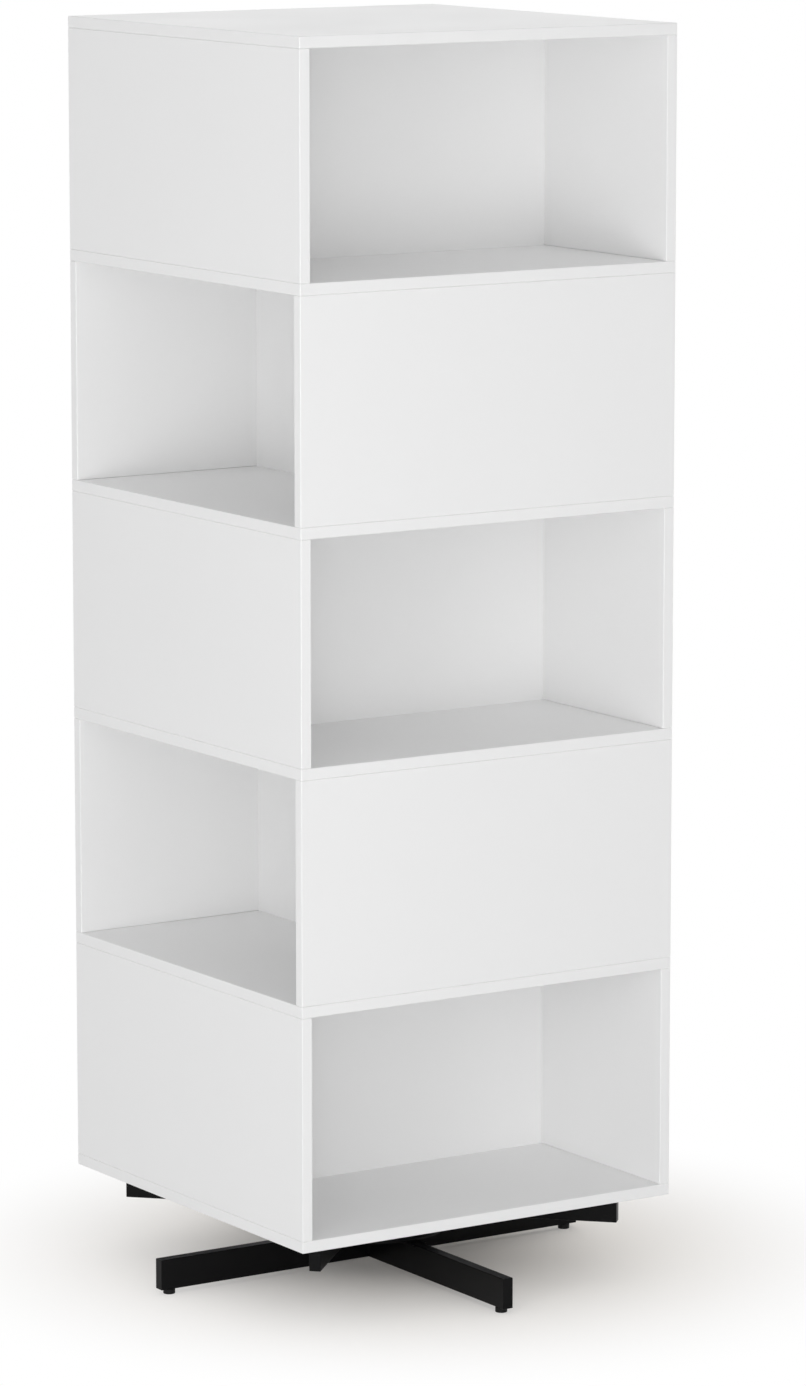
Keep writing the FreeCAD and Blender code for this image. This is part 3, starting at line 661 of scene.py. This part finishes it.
LACQUER_WHITE = "#F5F5F5"
LACQUER_WHITE_DEEP = "#F4F4F4"
LACQUER_ROUGHNESS = (0.36, 0.44)
LACQUER_IOR = 1.5
LACQUER_DRIFT_MM = 160
ORANGE_PEEL_MM = 2.5
ORANGE_PEEL_HEIGHT_MM = 0.006
# Each white board has one of these in its name.
BOARD_NAMES = ("_panel", "shelf_", "_side_", "_divider")

# White acid-cured lacquer, sprayed satin: a clean neutral white with a soft sheen, and a faint
# orange peel that loosens the edges of its reflections.
lacquer, tree = new_material("white_satin_lacquer")
place = add(tree, "ShaderNodeTexCoord", {}).outputs["Object"]
peel = add(tree, "ShaderNodeTexNoise",
           {"Vector": place, "Scale": MM_PER_METRE / ORANGE_PEEL_MM, "Detail": 2})
drift = add(tree, "ShaderNodeTexNoise",
            {"Vector": place, "Scale": MM_PER_METRE / LACQUER_DRIFT_MM, "Detail": 3})
colour = add(tree, "ShaderNodeMix",
             {MIX_SHARE: drift.outputs["Fac"],
              MIX_FIRST: linear(LACQUER_WHITE), MIX_SECOND: linear(LACQUER_WHITE_DEEP)},
             data_type="RGBA")
gloss = add(tree, "ShaderNodeMapRange",
            {"Value": drift.outputs["Fac"],
             "From Min": NOISE_SPREAD[0], "From Max": NOISE_SPREAD[1],
             "To Min": LACQUER_ROUGHNESS[0], "To Max": LACQUER_ROUGHNESS[1]})
relief = add(tree, "ShaderNodeBump",
             {"Height": peel.outputs["Fac"], "Strength": 1,
              "Distance": ORANGE_PEEL_HEIGHT_MM / MM_PER_METRE})
shader = add(tree, "ShaderNodeBsdfPrincipled",
             {"Base Color": colour.outputs[MIX_RESULT], "Roughness": gloss.outputs[0],
              "IOR": LACQUER_IOR, "Normal": relief.outputs["Normal"]})
add(tree, "ShaderNodeOutputMaterial", {"Surface": shader.outputs[0]})

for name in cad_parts:
    if any(word in name for word in BOARD_NAMES):
        finish(lacquer, name)


# ---------------------------------------------------------------------------------------------
# Dowels.  6 x 30 mm pins of beech, fluted for the glue and chamfered at both ends.  Four stand
# along each edge of every side panel and divider, 8 mm deep in the board that the edge meets.

BEECH_PALE = "#D8B083"
BEECH_BROWN = "#BC8F60"
BEECH_ROUGHNESS = 0.6
# Beech fibres are about 0.03 mm wide: drawn at 0.8 mm, so that they show, and twelve times as long.
BEECH_FIBRE_MM = 0.8
BEECH_FIBRE_STRETCH = 12
DOWEL_SIDES = 24
DOWEL_RADIUS = 0.003
DOWEL_LENGTH = 0.030
DOWEL_IN_BOARD = 0.008
DOWEL_INSET = 0.040
DOWEL_FLUTE = 0.0003
DOWEL_CHAMFER = 0.0008
DOWELS_PER_EDGE = 4
TIERS = (1, 2, 3, 4, 5)

# Turned beech: pale pinkish brown, matt, with short darker flecks along the grain.
beech, tree = new_material("turned_beech")
place = add(tree, "ShaderNodeTexCoord", {}).outputs["Object"]
stretch = add(tree, "ShaderNodeMapping", {"Vector": place, "Scale": (1, 1, 1 / BEECH_FIBRE_STRETCH)})
fibres = add(tree, "ShaderNodeTexNoise",
             {"Vector": stretch.outputs[0], "Scale": MM_PER_METRE / BEECH_FIBRE_MM, "Detail": 4})
colour = add(tree, "ShaderNodeMix",
             {MIX_SHARE: fibres.outputs["Fac"],
              MIX_FIRST: linear(BEECH_PALE), MIX_SECOND: linear(BEECH_BROWN)},
             data_type="RGBA")
shader = add(tree, "ShaderNodeBsdfPrincipled",
             {"Base Color": colour.outputs[MIX_RESULT], "Roughness": BEECH_ROUGHNESS})
add(tree, "ShaderNodeOutputMaterial", {"Surface": shader.outputs[0]})

dowel_outline = (
    (DOWEL_RADIUS - DOWEL_CHAMFER, 0, 0),
    (DOWEL_RADIUS, DOWEL_CHAMFER, DOWEL_FLUTE),
    (DOWEL_RADIUS, DOWEL_LENGTH - DOWEL_CHAMFER, DOWEL_FLUTE),
    (DOWEL_RADIUS - DOWEL_CHAMFER, DOWEL_LENGTH, 0),
)
for tier in TIERS:
    panels = [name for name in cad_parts
              if name.startswith(f"tier_{tier}_") and not name.endswith("_dowels")]
    shape = bmesh.new()
    rings = [ring_edges(shape, DOWEL_SIDES, *ring) for ring in dowel_outline]
    skin(shape, rings)
    bmesh.ops.edgeloop_fill(shape, edges=rings[0])
    bmesh.ops.edgeloop_fill(shape, edges=rings[-1])
    places = []
    for panel in panels:
        low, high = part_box(panel)
        middle = (low + high) / 2
        along = Vector((1, 0, 0)) if high.x - low.x > high.y - low.y else Vector((0, 1, 0))
        reach = (high - low).dot(along) / 2 - DOWEL_INSET
        for step in range(DOWELS_PER_EDGE):
            spot = middle + along * reach * (2 * step / (DOWELS_PER_EDGE - 1) - 1)
            for lower_end in (low.z - DOWEL_IN_BOARD, high.z + DOWEL_IN_BOARD - DOWEL_LENGTH):
                places.append(Matrix.Translation((spot.x, spot.y, lower_end)))
    set_out(shape, places)
    dowels = new_piece(f"fluted_dowels_{tier}", shape, beech, "tower")
    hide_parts(f"tier_{tier}_dowels")


# ---------------------------------------------------------------------------------------------
# Floor.  A sheet of matt white paper that takes the tower's shadow and runs out to pure white,
# so that there is no horizon.  The white is a painted glow, which also pales the shadow more and
# more away from the tower.  The white and the warm tint are only for rays that come straight
# from the camera or off a glossy surface: all other light meets plain, neutral paper.

FLOOR_RADIUS = 4
FLOOR_SIDES = 96
FLOOR_WHITE = "#F8F8F8"
# A warm tint for direct rays only: the lit paper shows as white, so the tint shows mostly in the
# tower's shadow, as a painted warm cast in the shade.
FLOOR_SEEN = "#FBF5ED"
# A faint glow, also only for direct rays, that keeps the tower's shadow pale.
FLOOR_LIFT = 0.05
# The floor fades to pure white, a painted glow over its shadow, between these two distances from
# the fade's centre, which sits a little off the tower's axis.
FADE_CENTRE = (0.06, 0.02, 0)
FADE_START = 0.06
FADE_END = 0.56


def seen_directly(tree):
    """1 for a ray that shows the background: from the camera, a reflection or a clear material."""
    rays = add(tree, "ShaderNodeLightPath", {})
    camera_or_gloss = add(tree, "ShaderNodeMath",
                          {0: rays.outputs["Is Camera Ray"], 1: rays.outputs["Is Glossy Ray"]},
                          operation="MAXIMUM")
    return add(tree, "ShaderNodeMath",
               {0: camera_or_gloss.outputs[0], 1: rays.outputs["Is Transmission Ray"]},
               operation="MAXIMUM").outputs[0]


shape = bmesh.new()
bmesh.ops.create_circle(shape, cap_ends=True, segments=FLOOR_SIDES, radius=FLOOR_RADIUS)
floor_mesh = bpy.data.meshes.new("floor")
shape.to_mesh(floor_mesh)
shape.free()
floor = bpy.data.objects.new("floor", floor_mesh)
bpy.context.collection.objects.link(floor)

paper, tree = new_material("white_paper")
place = add(tree, "ShaderNodeTexCoord", {}).outputs["Object"]
reach = add(tree, "ShaderNodeVectorMath", {0: place, 1: FADE_CENTRE}, operation="DISTANCE")
fade = add(tree, "ShaderNodeMapRange",
           {"Value": reach.outputs["Value"], "From Min": FADE_START, "From Max": FADE_END},
           interpolation_type="SMOOTHSTEP")
matt = add(tree, "ShaderNodeBsdfDiffuse", {"Color": linear(FLOOR_WHITE)})
# The warm tint, seen mostly in the tower's shadow: a painted warm cast in the shade.
warm = add(tree, "ShaderNodeBsdfDiffuse", {"Color": linear(FLOOR_SEEN)})
lift = add(tree, "ShaderNodeEmission", {"Strength": FLOOR_LIFT})
near = add(tree, "ShaderNodeAddShader", {0: warm.outputs[0], 1: lift.outputs[0]})
# The pure white glow that the fade brings in: painted light over the outer part of the shadow.
white = add(tree, "ShaderNodeEmission", {"Strength": 1})
shown = add(tree, "ShaderNodeMixShader",
            {0: fade.outputs[0], 1: near.outputs[0], 2: white.outputs[0]})
surface = add(tree, "ShaderNodeMixShader",
              {0: seen_directly(tree), 1: matt.outputs[0], 2: shown.outputs[0]})
add(tree, "ShaderNodeOutputMaterial", {"Surface": surface.outputs[0]})
floor.data.materials.append(paper)


# ---------------------------------------------------------------------------------------------
# Studio light.  A soft white dome, and six round softboxes, strongest from the front left, all
# aimed at the middle of the tower.

PURE_WHITE = (1, 1, 1, 1)
DOME_STRENGTH = 0.45
SOFTBOX_AIM = (0, 0, 0.65)
SOFTBOXES = (
    # Name, direction towards the softbox, distance and width in metres, and power in watts.
    ("front_softbox", (-0.50, -0.87, 0.20), 6, 7, 90),
    ("left_softbox", (-0.87, -0.50, 0.20), 6, 7, 19),
    ("low_front_softbox", (-0.50, -0.87, -0.03), 3.5, 1.2, 16.2),
    ("low_left_softbox", (-0.87, -0.50, -0.03), 3.5, 1.2, 14.2),
    ("overhead_softbox", (0, 0, 1), 4, 6, 17),
    ("back_right_softbox", (0.70, 0.70, 0.30), 6, 8, 55),
)

world = bpy.data.worlds.new("studio")
bpy.context.scene.world = world
world.use_nodes = True
tree = world.node_tree
tree.nodes.clear()
dome = add(tree, "ShaderNodeBackground", {"Color": PURE_WHITE, "Strength": DOME_STRENGTH})
backdrop = add(tree, "ShaderNodeBackground", {"Color": PURE_WHITE, "Strength": 1})
surface = add(tree, "ShaderNodeMixShader",
              {0: seen_directly(tree), 1: dome.outputs[0], 2: backdrop.outputs[0]})
add(tree, "ShaderNodeOutputWorld", {"Surface": surface.outputs[0]})

for name, towards, distance, width, power in SOFTBOXES:
    lamp = bpy.data.lights.new(name, "AREA")
    lamp.shape = "DISK"
    lamp.size = width
    lamp.energy = power
    holder = bpy.data.objects.new(name, lamp)
    holder.location = Vector(SOFTBOX_AIM) + Vector(towards).normalized() * distance
    holder.rotation_euler = Vector(towards).to_track_quat("Z", "Y").to_euler()
    holder.visible_camera = False
    bpy.context.collection.objects.link(holder)


# ---------------------------------------------------------------------------------------------
# Camera.  A long lens at eye height, well back and to the left of the front.  It looks down a
# little and has no shift, so the tower also stays in the frame when it is seen from elsewhere.

CAMERA_PLACE = (-3.3478, -5.2167, 1.63)
CAMERA_HEADING_DEGREES = 33.007
CAMERA_DIP_DEGREES = 9.383
CAMERA_LENS_MM = 157.16

camera = bpy.data.objects.new("camera", bpy.data.cameras.new("camera"))
camera.data.lens = CAMERA_LENS_MM
camera.location = CAMERA_PLACE
camera.rotation_euler = (math.radians(90 - CAMERA_DIP_DEGREES), 0,
                         -math.radians(CAMERA_HEADING_DEGREES))
bpy.context.collection.objects.link(camera)
bpy.context.scene.camera = camera
bpy.context.scene.view_settings.view_transform = "Standard"
